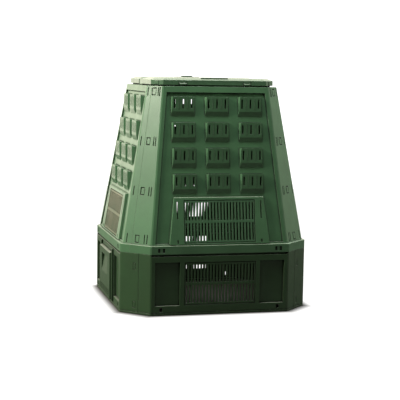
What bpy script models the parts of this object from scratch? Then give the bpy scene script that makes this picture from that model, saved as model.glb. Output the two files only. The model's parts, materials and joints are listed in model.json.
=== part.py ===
"""Garden compost bin: four sloping louvred walls on a base ring, with a two-leaf lid and access hatches.

Metres, +Z up. The origin is on the ground under the middle of the bin, and the front faces -Y.
Each panel is modelled as the front one and then turned about Z to its own side.
"""
import bmesh
import bpy
from math import atan2, cos, pi, radians, sin, sqrt, tan
from mathutils import Matrix, Vector

# Base ring: half width, the legs of its corner cuts, and height
BASE_HALF = 0.430
BASE_CUT = 0.116
BASE_TOP = 0.2615
SKIRT_GAP = 0.0095
SKIRT_HEIGHT = 0.036
WALL_HEIGHT = 0.691

# Sloping walls, measured in from the base ring
LEDGE_WIDTH = 0.013
LEDGE_RISE = 0.002
CUT_STEP = 0.010
TAPER = 0.116
CUT_TAPER = 0.047

# Plastic thickness, the gaps between pieces, and how far a cutter runs past a face
WALL = 0.004
SEAT_GAP = 0.0003
FIT_GAP = 0.0005
EDGE_FLAT = 0.004
PAST = 0.002
WALL_SMOOTH = radians(15)

# Corner wings: how much of the corner the outer wing covers, and the lap under it
OUTER_WING_SHARE = 0.69
BASE_OUTER_WING_SHARE = 0.60
LAP_GAP = 0.0004
SEAM_GAP = 0.0007
BASE_SEAM_GAP = 0.0015
INNER_WING_END = 0.010

# Corner snaps: shares of the wall's height, and places across the corner from the inner wing's side
SNAP_LEVELS = (0.9645, 0.6490, 0.3343, 0.0347)
SNAP_WINDOW_SHARE = 0.485
SNAP_WINDOW = (0.021, 0.034)
SNAP_CATCH_GAP = 0.0045
SNAP_CATCH_END_GAP = 0.004
SNAP_CATCH_REST_GAP = 0.001
SNAP_CATCH_PROUD = 0.0012
SNAP_SLOT_SIZE = (0.0042, 0.040)
SNAP_PAIR_SHARES = (0.745, 0.840)
SNAP_SINGLE_SHARE = 0.12
BASE_SNAP_LEVELS = (0.16, 0.815)
BASE_SNAP_SHARE = 0.53
BASE_SNAP_WINDOW = (0.015, 0.030)
BASE_SNAP_GAP = 0.0020

# Recessed field of each wall
BORDER = 0.017
TOP_BORDER = 0.025
FIELD_BOTTOM_ABOVE_FOOT = 0.004
FIELD_DEPTH = 0.007
FIELD_DRAFT = 0.002

# Raised boss round each wall vent, measured from the foot of the slope
BOSS_HEIGHT = 0.208
BOSS_HALF_BOTTOM = 0.231
BOSS_HALF_TOP = 0.207
BOSS_PROUD = 0.005
BOSS_DRAFT = 0.003
BOSS_POCKET_INSET = 0.0065
BOSS_POCKET_RISE = 0.0045
BOSS_SIDE_SLOT = (0.005, 0.076)
BOSS_SIDE_SLOT_X = 0.191
BOSS_SIDE_SLOT_DROP = 0.019
BOSS_STUD_HOLE = (0.007, 0.014)
BOSS_STUD_HOLE_RISE = 0.015
BOSS_STUD_HOLE_DEPTH = 0.0028

# Louvred hoods: rows fill the field above the boss
HOOD_COLUMNS = 3
HOOD_ROWS = 4
HOOD_COLUMN_PITCH = 0.154
HOOD_TOP_MARGIN = 0.019
HOOD_ROW_GAP = 0.025
HOOD_BOSS_GAP = 0.012
HOOD_WIDTH = 0.108
HOOD_DEPTH = 0.021
HOOD_CHIN = 0.022
HOOD_LEDGE_FALL = 0.0025
HOOD_DRAFT = radians(15)
HOOD_SKIN = 0.003
HOOD_POCKET_FOOT = 0.0066
HOOD_SLOTS = 3
HOOD_SLOT_PITCH = 0.0385
HOOD_SLOT_SIZE = (0.0072, 0.040)
HOOD_SLOT_DROP = 0.012

# Slotted vent insert
VENT_SIZE = (0.319, 0.184)
VENT_GAP = 0.003
VENT_FLANGE = 0.008
VENT_FLANGE_BOTTOM = 0.0035
VENT_FLANGE_THICK = 0.003
VENT_SET_BACK = 0.0012
VENT_SKIN = 0.0035
VENT_FRAME = 0.0078
VENT_MID_BAR = 0.012
VENT_SLOTS = 22
VENT_SLOT_PITCH = 0.0145
VENT_SLOT_WIDTH = 0.0068
VENT_RISE = 0.0105
BASE_VENT_BOTTOM = 0.047

# Base panels: recesses, upstand, foot flange and peg holes
RECESS_INNER_X = 0.182
RECESS_CORNER_MARGIN = 0.015
RECESS_BOTTOM = 0.042
RECESS_TOP_MARGIN = 0.0265
RECESS_DEPTH = 0.012
RECESS_DRAFT = 0.0015
GROOVE_DEPTH = 0.012
FOOT_GROOVE_Z = 0.0105
FOOT_GROOVE = (0.0012, 0.0030)
FOOT_FLANGE = 0.022
CLIP_CORNER_MARGIN = 0.047
PEG_HOLE_SIZE = (0.014, 0.017)
PEG_HOLE_Z = 0.026

# Locking clips between skirt and base
CLIP_DROP = 0.001
CLIP_NOTCH = (0.031, 0.018)
CLIP_HEAD = (0.012, 0.016)
CLIP_HOLE = (0.010, 0.009)
CLIP_BARB = 0.0025
CLIP_BARB_LENGTH = 0.005

# Access hatches and their rails
HATCH_HALF = 0.138
HATCH_BOTTOM = 0.022
HATCH_HEIGHT = 0.218
HATCH_PROUD = 0.016
HATCH_SKIN = 0.003
HATCH_FLANGE = 0.011
HATCH_DRAFT = 0.003
HATCH_GAP = 0.0010
SCOOP_HALF = 0.075
SCOOP_DROP = 0.030
SCOOP_HEIGHT = 0.085
SCOOP_DEPTH = 0.0122
HATCH_SLOTS = 18
HATCH_SLOT_SIZE = (0.006, 0.030)
HATCH_SLOT_Z = 0.012
RAIL_LIP = 0.003
RAIL_WEB = 0.0045
RAIL_LIP_GAP = 0.003
SILL_HEIGHT = 0.006
RAIL_RECESS_MARGIN = 0.004
OPENING_MARGIN = 0.012

# Lid leaves, measured from the wall tops
LID_OVERHANG = 0.018
LID_CUT = 0.046
LID_LIFT = 0.006
LID_DEPTH = 0.0225
LID_CROWN = 0.008
LID_EASE = 0.002
LID_CROWN_INSET = 0.024
LID_SKIN = 0.003
WALL_FLANGE = 0.030
SEAT_RIB_INSET = 0.0055
SEAT_RIB_THICK = 0.003
SEAT_RIB_CORNER_MARGIN = 0.025
SEAT_RIB_NEAR = 0.056
STIFF_RIB_X = 0.130
STIFF_RIB_THICK = 0.0022
STIFF_RIB_RISE = 0.007

# Cross bar and hinges
BAR_HALF = 0.030
BAR_FLANGE_HALF = 0.046
BAR_FLANGE_THICK = 0.003
BAR_END_GAP = 0.002
BAR_PROUD = 0.0005
BAR_CHAMFER = 0.003
BAR_SKIN = 0.0035
BAR_RIB_PITCH = 0.110
BAR_RIB_THICK = 0.002
HINGE_OFFSET = 0.006
HINGE_DROP = 0.0045
HINGE_X = 0.205
LEAF_EDGE_GAP = 0.0005
PIN_RADIUS = 0.0024
PIN_GAP = 0.0003
PIN_HEAD_RADIUS = 0.0038
PIN_HEAD_LENGTH = 0.0018
KNUCKLE_RADIUS = 0.0054
KNUCKLE_WIDTH = 0.018
KNUCKLE_REACH = 0.011
KNUCKLE_WEB = 0.0035
LUG_WIDTH = 0.008
LUG_WEB_LOW = 0.010
LUG_WEB_HIGH = 0.0015
HINGE_GAP = 0.0006
NOTCH_RADIUS = 0.0075

# Snap tongues and grips of the leaves
TONGUE_X = 0.148
TONGUE_WIDTH = 0.036
TONGUE_SLIT = 0.0025
TONGUE_ROOT = 0.006
TONGUE_HOOK = 0.003
TONGUE_BAR = 0.0045
GRIP_BASE = 0.128
GRIP_CREST = 0.058
GRIP_INSET = 0.014
GRIP_THICK = 0.014
GRIP_LOW = 0.0098
GRIP_HIGH = 0.0143
GRIP_EASE = 0.004
GRIP_SHOULDER = 0.007
POCKET_SIZE = (0.086, 0.030)
POCKET_DEPTH = 0.013

# Sizes that follow from the ones above
LAP = WALL + LAP_GAP
SKIRT_BOTTOM = BASE_TOP + SKIRT_GAP
SKIRT_TOP = SKIRT_BOTTOM + SKIRT_HEIGHT
FOOT_Z = SKIRT_TOP + LEDGE_RISE
WALL_TOP = FOOT_Z + WALL_HEIGHT
FOOT_HALF = BASE_HALF - LEDGE_WIDTH
FOOT_CUT = BASE_CUT - CUT_STEP
TOP_HALF = FOOT_HALF - TAPER
TOP_CUT = FOOT_CUT - CUT_TAPER
SLOPE = TAPER / WALL_HEIGHT
FIELD_TOP = WALL_TOP - TOP_BORDER
FIELD_BOTTOM = FOOT_Z + FIELD_BOTTOM_ABOVE_FOOT
BOSS_TOP = FOOT_Z + BOSS_HEIGHT
BOSS_POCKET_BOTTOM = FOOT_Z + BOSS_POCKET_RISE
HOOD_TOP = FIELD_TOP - HOOD_TOP_MARGIN
HOOD_ROW_PITCH = (HOOD_TOP - BOSS_TOP - HOOD_BOSS_GAP + HOOD_ROW_GAP) / HOOD_ROWS
HOOD_HEIGHT = HOOD_ROW_PITCH - HOOD_ROW_GAP
VENT_BOTTOM = FOOT_Z + VENT_RISE
FACE_HALF = BASE_HALF - BASE_CUT
RECESS_OUTER_X = FACE_HALF - EDGE_FLAT - RECESS_CORNER_MARGIN
RECESS_TOP = BASE_TOP - RECESS_TOP_MARGIN
CLIP_X = FACE_HALF - CLIP_CORNER_MARGIN
CLIP_Z = (SKIRT_BOTTOM + SKIRT_TOP) / 2 - CLIP_DROP
LID_HALF = TOP_HALF - LID_OVERHANG
LID_BOTTOM = WALL_TOP + LID_LIFT
LID_TOP = LID_BOTTOM + LID_DEPTH
SEAT_RIB_HALF = LID_HALF - LID_CUT - SEAT_RIB_CORNER_MARGIN
BAR_TOP = LID_TOP + BAR_PROUD
HINGE_Y = BAR_HALF + HINGE_OFFSET
HINGE_Z = LID_TOP - HINGE_DROP
SIDES = {"front": 0.0, "right": 90.0, "back": 180.0, "left": -90.0}


# Materials

def plastic(name, colour, roughness):
    """A plain moulded plastic."""
    material = bpy.data.materials.new(name)
    material.use_nodes = True
    shader = material.node_tree.nodes["Principled BSDF"]
    shader.inputs["Base Color"].default_value = (*colour, 1.0)
    shader.inputs["Roughness"].default_value = roughness
    shader.inputs["Metallic"].default_value = 0.0
    material.diffuse_color = (*colour, 1.0)
    return material


# Mesh and boolean helpers

def new_object(name, bm, material=None):
    """Turn a bmesh into a scene object with its normals pointing out."""
    bmesh.ops.recalc_face_normals(bm, faces=bm.faces)
    mesh = bpy.data.meshes.new(name)
    bm.to_mesh(mesh)
    bm.free()
    if material:
        mesh.materials.append(material)
    obj = bpy.data.objects.new(name, mesh)
    bpy.context.scene.collection.objects.link(obj)
    return obj


def add_loft(bm, rings):
    """Skin a row of equal closed rings, with a flat cap on each end."""
    rows = [[bm.verts.new(point) for point in ring] for ring in rings]
    for low, high in zip(rows, rows[1:]):
        for i in range(len(low)):
            j = (i + 1) % len(low)
            bm.faces.new((low[i], low[j], high[j], high[i]))
    bm.faces.new(rows[0])
    bm.faces.new(rows[-1])


def loft(name, rings, material=None):
    """One solid skinned through closed rings."""
    bm = bmesh.new()
    add_loft(bm, rings)
    return new_object(name, bm, material)


def lofts(name, ring_sets):
    """Several separate solids in one object, used as one cutter or one set of additions."""
    bm = bmesh.new()
    for rings in ring_sets:
        add_loft(bm, rings)
    return new_object(name, bm)


def box_rings(low, high):
    """The two rings of an upright box between two corners."""
    (x0, y0, z0), (x1, y1, z1) = low, high
    return [[(x0, y0, z), (x1, y0, z), (x1, y1, z), (x0, y1, z)] for z in (z0, z1)]


def cylinder_rings(centre, radius, x0, x1, sides=16):
    """The two end rings of a round bar along X."""
    turns = [2 * pi * (k + 0.5) / sides for k in range(sides)]
    return [[(x, centre[0] + radius * cos(a), centre[1] + radius * sin(a)) for a in turns]
            for x in (x0, x1)]


def combine(obj, tool, operation):
    """Apply one exact boolean to obj and remove the tool."""
    step = obj.modifiers.new(operation, "BOOLEAN")
    step.operation = operation
    step.solver = "EXACT"
    step.object = tool
    graph = bpy.context.evaluated_depsgraph_get()
    result = bpy.data.meshes.new_from_object(obj.evaluated_get(graph))
    obj.modifiers.clear()
    spent = obj.data
    obj.data = result
    bpy.data.meshes.remove(spent)
    bpy.data.objects.remove(tool)
    return obj


def add(obj, tool):
    return combine(obj, tool, "UNION")


def cut(obj, tool):
    return combine(obj, tool, "DIFFERENCE")


def tidy(obj, smooth=radians(30)):
    """Drop the slivers that a row of booleans can leave, and shade smooth across small angles."""
    bm = bmesh.new()
    bm.from_mesh(obj.data)
    bmesh.ops.remove_doubles(bm, verts=bm.verts, dist=0.000002)
    bmesh.ops.dissolve_limit(bm, angle_limit=radians(0.02), verts=bm.verts, edges=bm.edges)
    bm.to_mesh(obj.data)
    bm.free()
    obj.data.shade_smooth()
    obj.data.set_sharp_from_angle(angle=smooth)
    return obj


def copies(source, places):
    """Name the source after its first place and give each other place an object with the same mesh."""
    made = []
    for k, (name, matrix) in enumerate(places):
        obj = source if k == 0 else bpy.data.objects.new(name, source.data)
        if k:
            bpy.context.scene.collection.objects.link(obj)
        obj.name = name
        obj.location, obj.rotation_mode = matrix.to_translation(), "XYZ"
        obj.rotation_euler = matrix.to_euler()
        made.append(obj)
    return made


def turned(side):
    """The turn about Z that takes a front piece to another side."""
    return Matrix.Rotation(radians(SIDES[side]), 4, "Z")


# Plan of the octagonal ring: where a point lies at a given height, depth and place round the corner

def slope_outline(z):
    """Half width and corner cut of the sloping walls at height z."""
    share = (z - FOOT_Z) / (WALL_TOP - FOOT_Z)
    return FOOT_HALF + (TOP_HALF - FOOT_HALF) * share, FOOT_CUT + (TOP_CUT - FOOT_CUT) * share


def wall_y(z, proud):
    """Y of the front wall's sloping face at height z, moved out by proud."""
    return -slope_outline(z)[0] - proud


def face_station(half, cut_leg, inset):
    """Where the flat front face ends, just short of its corner."""
    return half - cut_leg - EDGE_FLAT, -half + inset


def corner_station(half, cut_leg, inset, along, under=0.0, mitre=0.0):
    """A point on the corner face, along it from the front corner, and under it by a lap."""
    run = along - mitre * inset * (sqrt(2) - 1)
    depth = inset + under
    return (half - cut_leg + (run - depth) / sqrt(2), -half + (run + depth) / sqrt(2))


def wing_stations(share, inner, seam):
    """Place functions from the middle of a panel to the end of its right-hand wing, each with its lap."""
    def run(leg, part):
        return part * leg * sqrt(2)

    stations = [
        (lambda half, leg, inset: face_station(half, leg, inset), 0.0),
        (lambda half, leg, inset: corner_station(half, leg, inset, EDGE_FLAT), 0.0)]
    if not inner:
        end = lambda half, leg, inset: corner_station(half, leg, inset, run(leg, share) - inset)
        return stations + [(end, 0.0)]
    bend = lambda half, leg, inset: corner_station(
        half, leg, inset, run(leg, 1 - share) - seam, 0.0, 1.0)
    lapped = lambda half, leg, inset: corner_station(
        half, leg, inset, run(leg, 1 - share) - seam + LAP, LAP, 1.0)
    end = lambda half, leg, inset: corner_station(half, leg, inset, run(leg, 1) - INNER_WING_END, LAP)
    return stations + [(bend, 0.0), (lapped, LAP), (end, LAP)]


def folded_panel(name, section, stations, material):
    """Sweep a closed section (z, half, cut, inset) round a panel and its two wings."""
    right = []
    for k, (place, under) in enumerate(stations):
        ring = []
        for z, half, leg, inset in section(under, k > 0):
            x, y = place(half, leg, inset)
            ring.append((x, y, z))
        right.append(ring)
    left = [[(-x, y, z) for x, y, z in ring] for ring in reversed(right)]
    return loft(name, left + right, material)


def wall_section(under, on_wing):
    """Skirt, ledge and sloping face; a station that lies under its neighbour has a lower ledge."""
    ledge, foot = SKIRT_TOP - under, FOOT_Z - under
    inner_foot = foot - WALL
    return [(SKIRT_BOTTOM, BASE_HALF, BASE_CUT, 0.0),
            (ledge, BASE_HALF, BASE_CUT, 0.0),
            (foot, *slope_outline(foot), 0.0),
            (WALL_TOP, *slope_outline(WALL_TOP), 0.0),
            (WALL_TOP, *slope_outline(WALL_TOP), WALL),
            (inner_foot, *slope_outline(inner_foot), WALL),
            (ledge - WALL, BASE_HALF, BASE_CUT, WALL),
            (SKIRT_BOTTOM, BASE_HALF, BASE_CUT, WALL)]


def base_section(under, on_wing):
    """An upright strip with a fine groove above its foot, which closes up to the skirt on its wings."""
    top = SKIRT_BOTTOM - SEAT_GAP if on_wing else BASE_TOP
    groove_depth, groove_height = FOOT_GROOVE
    return [(0.0, BASE_HALF, BASE_CUT, 0.0),
            (FOOT_GROOVE_Z, BASE_HALF, BASE_CUT, 0.0),
            (FOOT_GROOVE_Z, BASE_HALF, BASE_CUT, groove_depth),
            (FOOT_GROOVE_Z + groove_height, BASE_HALF, BASE_CUT, groove_depth),
            (FOOT_GROOVE_Z + groove_height, BASE_HALF, BASE_CUT, 0.0),
            (top, BASE_HALF, BASE_CUT, 0.0),
            (top, BASE_HALF, BASE_CUT, WALL),
            (0.0, BASE_HALF, BASE_CUT, WALL)]


# Blocks that follow the sloping face

def face_block(outline, low, high, draft=0.0):
    """Rings of a block on the sloping wall, from proud low to proud high, narrowed by draft."""
    middle_z = sum(z for _, z in outline) / len(outline)
    rings = []
    for proud, shrink in ((low, 0.0), (high, draft)):
        ring = []
        for x, z in outline:
            moved_x = x - shrink if x > 0 else x + shrink
            moved_z = z - shrink if z > middle_z else z + shrink
            ring.append((moved_x, wall_y(moved_z, proud), moved_z))
        rings.append(ring)
    return rings


def field_outline(grow=0.0):
    """The recessed field: parallel to the wall's edges, a border's width inside them."""
    corners = []
    for z, step in ((FIELD_BOTTOM, -grow), (FIELD_TOP, grow)):
        half, leg = slope_outline(z)
        corners.append((half - leg - BORDER + grow, z + step))
    (low_x, low_z), (high_x, high_z) = corners
    return [(-low_x, low_z), (low_x, low_z), (high_x, high_z), (-high_x, high_z)]


def boss_outline(bottom, grow=0.0):
    return [(-BOSS_HALF_BOTTOM - grow, bottom - grow), (BOSS_HALF_BOTTOM + grow, bottom - grow),
            (BOSS_HALF_TOP + grow, BOSS_TOP + grow), (-BOSS_HALF_TOP - grow, BOSS_TOP + grow)]


def rectangle(x_middle, z_middle, size):
    (x, z), (w, h) = (x_middle, z_middle), (size[0] / 2, size[1] / 2)
    return [(x - w, z - h), (x + w, z - h), (x + w, z + h), (x - w, z + h)]


# Louvred hoods

def carried(edge, z, embed):
    """The end of a hood line that runs from its edge to the field at height z and on into the wall."""
    (edge_y, edge_z), y = edge, wall_y(z, -FIELD_DEPTH)
    return y + embed, z + (z - edge_z) * embed / (y - edge_y)


def hood_profile(top, skin, pocket_foot):
    """An upright face over a chin that slopes back: the chin's foot and edge, the face's top, the ledge."""
    face_y = wall_y(top, HOOD_DEPTH - FIELD_DEPTH) + skin
    low = top - HOOD_HEIGHT
    return low + pocket_foot, (face_y, low + HOOD_CHIN), (face_y, top - skin), top - HOOD_LEDGE_FALL - skin


def raised_profile(top):
    foot, chin, crest, ledge = hood_profile(top, 0.0, 0.0)
    return [carried(chin, foot, WALL / 2), chin, crest, carried(crest, ledge, WALL / 2)]


def pocket_profile(top):
    """The hood's hollow, which runs on through the wall behind it."""
    foot, chin, crest, ledge = hood_profile(top, HOOD_SKIN, HOOD_POCKET_FOOT)
    field, behind = -FIELD_DEPTH, -FIELD_DEPTH - WALL - PAST
    return [(wall_y(foot, behind), foot), (wall_y(foot, field), foot), chin, crest,
            (wall_y(ledge, field), ledge), (wall_y(ledge, behind), ledge)]


def hood_rings(x_middle, profile, skin):
    """A hood's profile between drafted cheeks, inset by skin."""
    rings = []
    for sign in (-1, 1):
        ring = []
        for y, z in profile:
            depth = -y - slope_outline(z)[0] + FIELD_DEPTH
            x = HOOD_WIDTH / 2 - depth * tan(HOOD_DRAFT) - skin
            ring.append((x_middle + sign * x, y, z))
        rings.append(ring)
    return rings


def hood_places():
    for row in range(HOOD_ROWS):
        for column in range(HOOD_COLUMNS):
            x = (column - (HOOD_COLUMNS - 1) / 2) * HOOD_COLUMN_PITCH
            yield x, HOOD_TOP - row * HOOD_ROW_PITCH


def hood_slot_rings(x_middle, top):
    """The upright slots through one hood's face."""
    face_y = wall_y(top, HOOD_DEPTH - FIELD_DEPTH)
    width, height = HOOD_SLOT_SIZE
    high = top - HOOD_SLOT_DROP
    for k in range(HOOD_SLOTS):
        x = x_middle + (k - (HOOD_SLOTS - 1) / 2) * HOOD_SLOT_PITCH
        yield box_rings((x - width / 2, face_y - PAST, high - height),
                        (x + width / 2, face_y + HOOD_SKIN + PAST, high))


# Corner snaps

def base_outline(z):
    """Half width and corner cut of the upright base ring, the same at each height z."""
    return BASE_HALF, BASE_CUT


def corner_box(z, along, size, low, high, offset, outline):
    """A box on the right-hand corner face at height z, from inset low to inset high."""
    run = outline(z)[1] * sqrt(2)
    middle = along * run + offset
    rings = []
    for inset in (low, high):
        ring = []
        for step, rise in ((-1, -1), (1, -1), (1, 1), (-1, 1)):
            at_z = z + rise * size[1] / 2
            half, leg = outline(at_z)
            place = middle + step * size[0] / 2 + (leg * sqrt(2) - run) * (middle / run)
            x, y = corner_station(half, leg, inset, place)
            ring.append((x, y, at_z))
        rings.append(ring)
    return rings


def mirrored(rings):
    return [[(-x, y, z) for x, y, z in ring] for ring in rings]


def both_sides(rings):
    return [rings, mirrored(rings)]


def snap_heights():
    return [FOOT_Z + level * WALL_HEIGHT for level in SNAP_LEVELS]


def snap_boxes(heights, along, size, low, high, offset=0.0, outline=slope_outline):
    """A column of boxes on both corner faces, one at each height."""
    rings = []
    for z in heights:
        rings += both_sides(corner_box(z, along, size, low, high, offset, outline))
    return rings


def cut_outer_snaps(wall):
    """Windows and slot pairs in the outer wings."""
    cutters = snap_boxes(snap_heights(), 1 - SNAP_WINDOW_SHARE, SNAP_WINDOW, -PAST, WALL + PAST)
    for share in SNAP_PAIR_SHARES:
        cutters += snap_boxes(snap_heights(), 1 - share, SNAP_SLOT_SIZE, -PAST, WALL + PAST)
    return cut(wall, lofts("snap_windows", cutters))


def add_inner_snaps(wall):
    """Catches on the inner wings that stand up through the windows, and a slot beside each."""
    size = (SNAP_WINDOW[0] - SNAP_CATCH_GAP - SNAP_CATCH_REST_GAP, SNAP_WINDOW[1] - 2 * SNAP_CATCH_END_GAP)
    offset = (SNAP_CATCH_GAP - SNAP_CATCH_REST_GAP) / 2
    add(wall, lofts("snap_catches", snap_boxes(
        snap_heights(), SNAP_WINDOW_SHARE, size, -SNAP_CATCH_PROUD, LAP + WALL / 2, offset)))
    return cut(wall, lofts("snap_slots", snap_boxes(
        snap_heights(), SNAP_SINGLE_SHARE, SNAP_SLOT_SIZE, -PAST, WALL + PAST)))


def base_snap_boxes(along, gap, low, high):
    """The snap windows of the base ring, or the catches that fill them to a gap."""
    size = (BASE_SNAP_WINDOW[0] - 2 * gap, BASE_SNAP_WINDOW[1] - 2 * gap)
    heights = [level * BASE_TOP for level in BASE_SNAP_LEVELS]
    return snap_boxes(heights, along, size, low, high, 0.0, base_outline)


# Wall panels

def wall_panel(name, inner, material):
    """One sloping wall with its field, hoods, boss, skirt and wings."""
    wall = folded_panel(name, wall_section, wing_stations(OUTER_WING_SHARE, inner, SEAM_GAP), material)
    add(wall, loft("pan", face_block(field_outline(WALL), -FIELD_DEPTH - WALL, -WALL / 2)))
    cut(wall, loft("field", face_block(field_outline(), HOOD_DEPTH, -FIELD_DEPTH, FIELD_DRAFT)))
    half, leg = slope_outline(WALL_TOP)
    reach = half - leg - EDGE_FLAT
    add(wall, loft("flange", box_rings((-reach, -half + WALL / 2, WALL_TOP - WALL),
                                       (reach, -half + WALL_FLANGE, WALL_TOP))))
    boss_bottom = SKIRT_TOP + LEDGE_RISE / 2
    raised = [hood_rings(x, raised_profile(top), 0.0) for x, top in hood_places()]
    raised.append(face_block(boss_outline(boss_bottom), -FIELD_DEPTH - WALL / 2, BOSS_PROUD, BOSS_DRAFT))
    add(wall, lofts("raised", raised))
    pockets = [hood_rings(x, pocket_profile(top), HOOD_SKIN) for x, top in hood_places()]
    pockets.append(face_block(boss_outline(BOSS_POCKET_BOTTOM - BOSS_POCKET_INSET, -BOSS_POCKET_INSET),
                              -FIELD_DEPTH - WALL - PAST, BOSS_PROUD - WALL))
    cut(wall, lofts("pockets", pockets))
    cut(wall, lofts("openings", wall_openings()))
    if inner:
        add_inner_snaps(wall)
    else:
        cut_outer_snaps(wall)
    return tidy(wall, WALL_SMOOTH)


def wall_openings():
    """Hood slots, the vent opening, the boss's side slots and stud holes, and the clip notches."""
    rings = [ring for x, top in hood_places() for ring in hood_slot_rings(x, top)]
    tall = VENT_SIZE[1] * cos(atan2(SLOPE, 1))
    opening = (VENT_SIZE[0] + 2 * VENT_GAP, tall + 2 * VENT_GAP)
    rings.append(face_block(rectangle(0, VENT_BOTTOM + tall / 2, opening),
                            BOSS_PROUD - WALL - PAST, BOSS_PROUD + PAST))
    for sign in (-1, 1):
        side = sign * BOSS_SIDE_SLOT_X
        slot_z = BOSS_TOP - BOSS_SIDE_SLOT_DROP - BOSS_SIDE_SLOT[1] / 2
        rings.append(face_block(rectangle(side, slot_z, BOSS_SIDE_SLOT),
                                BOSS_PROUD - WALL - PAST, BOSS_PROUD + PAST))
        rings.append(face_block(rectangle(side, FOOT_Z + BOSS_STUD_HOLE_RISE, BOSS_STUD_HOLE),
                                BOSS_PROUD - BOSS_STUD_HOLE_DEPTH, BOSS_PROUD + PAST))
        (w, h) = CLIP_NOTCH
        rings.append(box_rings((sign * CLIP_X - w / 2, -BASE_HALF - PAST, CLIP_Z - h / 2),
                               (sign * CLIP_X + w / 2, -BASE_HALF + WALL + SEAT_GAP / 2, CLIP_Z + h / 2)))
    return rings


# Vent inserts

def vent_insert(name, material):
    """A slotted plate that stands forward of a flange; local -Y faces out, the origin is bottom middle."""
    width, height = VENT_SIZE
    face = VENT_SET_BACK
    seat = WALL + SEAT_GAP
    back = seat + VENT_FLANGE_THICK
    insert = loft(name, box_rings((-width / 2, face, 0), (width / 2, back, height)), material)
    add(insert, loft("flange", box_rings(
        (-width / 2 - VENT_FLANGE, seat, -VENT_FLANGE_BOTTOM),
        (width / 2 + VENT_FLANGE, back, height + VENT_FLANGE))))
    rim = VENT_SKIN
    cut(insert, loft("hollow", box_rings((-width / 2 + rim, face + VENT_SKIN, rim),
                                         (width / 2 - rim, back + PAST, height - rim))))
    slot_height = (height - 2 * VENT_FRAME - VENT_MID_BAR) / 2
    slots = []
    for k in range(VENT_SLOTS):
        x = (k - (VENT_SLOTS - 1) / 2) * VENT_SLOT_PITCH
        for z in (VENT_FRAME, VENT_FRAME + slot_height + VENT_MID_BAR):
            slots.append(box_rings((x - VENT_SLOT_WIDTH / 2, face - PAST, z),
                                   (x + VENT_SLOT_WIDTH / 2, face + VENT_SKIN + PAST, z + slot_height)))
    return tidy(cut(insert, lofts("slots", slots)))


def wall_vent_place(side):
    """On the boss, tilted back with the wall."""
    tilt = Matrix.Rotation(-atan2(SLOPE, 1), 4, "X")
    spot = Matrix.Translation((0, wall_y(VENT_BOTTOM, BOSS_PROUD), VENT_BOTTOM))
    return turned(side) @ spot @ tilt


def base_vent_place(side):
    return turned(side) @ Matrix.Translation((0, -BASE_HALF, BASE_VENT_BOTTOM))


# Base panels

def upstand_profile():
    """A groove under the skirt's edge and the upstand that rises from it behind the skirt: (depth, z)."""
    shelf, roof = BASE_TOP - WALL / 2, SKIRT_BOTTOM + WALL
    top = SKIRT_TOP - WALL - SEAT_GAP
    back = GROOVE_DEPTH + WALL
    return [(WALL / 2, shelf - 2 * WALL), (back, shelf - WALL), (back, roof + WALL),
            (LAP + WALL, roof + WALL), (LAP + WALL, top), (LAP, top), (LAP, roof),
            (GROOVE_DEPTH, roof), (GROOVE_DEPTH, shelf), (WALL / 2, shelf)]


def base_panel(name, inner, recess_inner_x, material):
    """One base panel with recesses, an opening, a foot flange and an upstand behind the skirt."""
    stations = wing_stations(BASE_OUTER_WING_SHARE, inner, BASE_SEAM_GAP)
    panel = folded_panel(name, base_section, stations, material)
    face = FACE_HALF - EDGE_FLAT
    upstand = upstand_profile()
    add(panel, lofts("flange_and_upstand", [
        box_rings((-face, -BASE_HALF + WALL / 2, 0), (face, -BASE_HALF + FOOT_FLANGE, WALL)),
        [[(x, -BASE_HALF + y, z) for y, z in upstand] for x in (-face, face)]]))
    bodies, hollows = [], []
    middle_z = (RECESS_BOTTOM + RECESS_TOP) / 2
    middle_x = (recess_inner_x + RECESS_OUTER_X) / 2
    size = (RECESS_OUTER_X - recess_inner_x, RECESS_TOP - RECESS_BOTTOM)
    for sign in (-1, 1):
        outside = rectangle(sign * middle_x, middle_z, (size[0] + 2 * WALL, size[1] + 2 * WALL))
        floor = (size[0] - 2 * RECESS_DRAFT, size[1] - 2 * RECESS_DRAFT)
        bodies.append([[(x, y, z) for x, z in outside]
                       for y in (-BASE_HALF + WALL / 2, -BASE_HALF + RECESS_DEPTH + WALL)])
        hollows.append([[(x, -BASE_HALF - PAST, z) for x, z in rectangle(sign * middle_x, middle_z, size)],
                        [(x, -BASE_HALF + RECESS_DEPTH, z)
                         for x, z in rectangle(sign * middle_x, middle_z, floor)]])
        hollows.append(front_hole(sign * CLIP_X, PEG_HOLE_Z, PEG_HOLE_SIZE, WALL + PAST))
        hollows.append(front_hole(sign * CLIP_X, CLIP_Z, CLIP_HOLE, LAP + WALL + PAST))
    add(panel, lofts("recess_bodies", bodies))
    cut(panel, lofts("recess_hollows", hollows))
    return panel


def front_hole(x, z, size, depth):
    """A rectangular cutter through the upright front face."""
    return [[(px, y, pz) for px, pz in rectangle(x, z, size)]
            for y in (-BASE_HALF - PAST, -BASE_HALF + depth)]


def vented_base(name, material):
    """Front or back base panel, whose wings lie under those of the side panels."""
    panel = base_panel(name, True, RECESS_INNER_X, material)
    add(panel, lofts("catches", base_snap_boxes(BASE_SNAP_SHARE, BASE_SNAP_GAP, 0.0, LAP + WALL / 2)))
    size = (VENT_SIZE[0] + 2 * VENT_GAP, VENT_SIZE[1] + 2 * VENT_GAP)
    middle = BASE_VENT_BOTTOM + VENT_SIZE[1] / 2
    return tidy(cut(panel, loft("vent_opening", front_hole(0, middle, size, WALL + PAST))))


def rail_inner_x():
    return HATCH_HALF + HATCH_FLANGE + FIT_GAP * 2


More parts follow.
